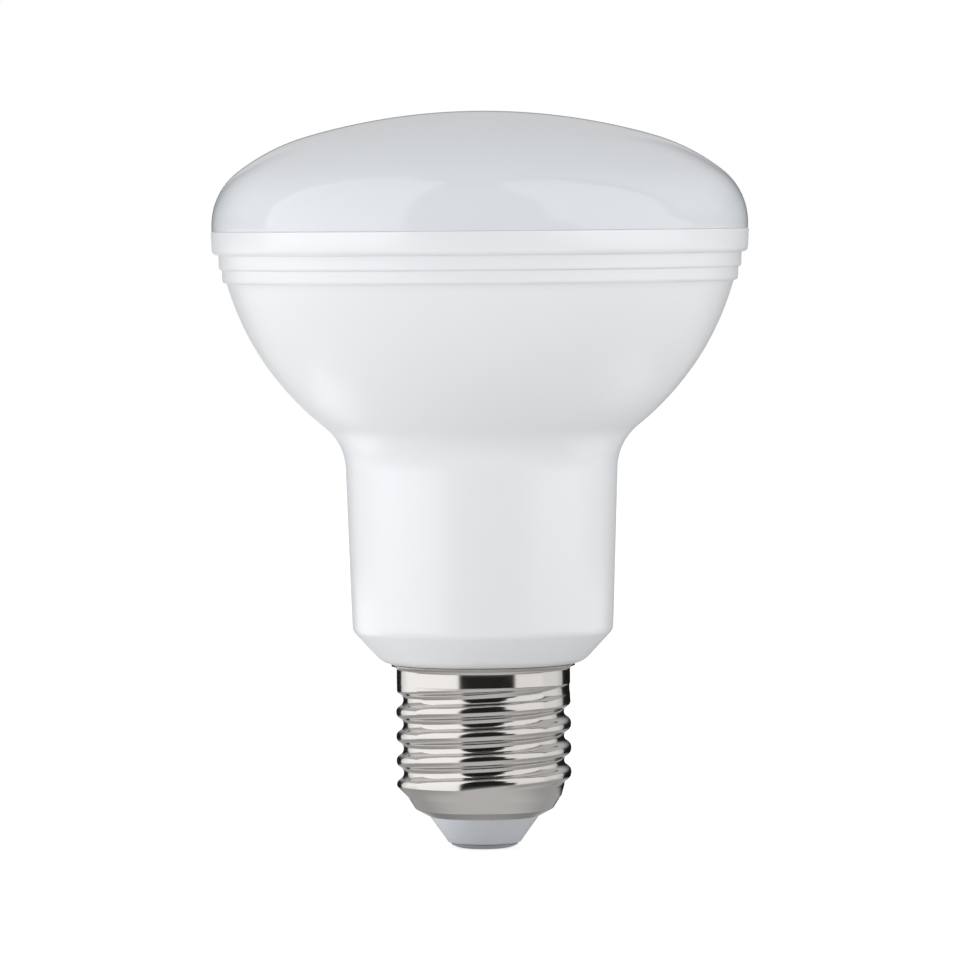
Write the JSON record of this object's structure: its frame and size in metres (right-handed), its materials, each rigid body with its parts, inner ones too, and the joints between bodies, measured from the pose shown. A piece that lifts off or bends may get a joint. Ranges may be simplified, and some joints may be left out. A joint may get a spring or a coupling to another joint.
{
  "type": "reflector bulb",
  "caption": "LED reflector lamp with a frosted domed front, stepped rim, bowl-shaped white housing, straight neck and a screw cap with a centre contact.",
  "frame": {"origin": "centre of the centre contact's flat lowest face, on the lamp's axis", "axes": "+Z along the lamp's axis from the cap's contact up to the top of the dome"},
  "size_m": [0.0798, 0.0798, 0.1097],
  "materials": {
    "frosted_dome": "frosted, satin",
    "white_housing": "glossy white moulding",
    "nickel_shell": "bright nickel plate",
    "pale_insulator": "smooth, pale grey",
    "nickel_contact": "nickel plate"
  },
  "bodies": {
    "root": {"diffuser": "frosted_dome", "housing": "white_housing", "screw_shell": "nickel_shell", "insulator": "pale_insulator", "centre_contact": "nickel_contact"}
  },
  "joints": []
}
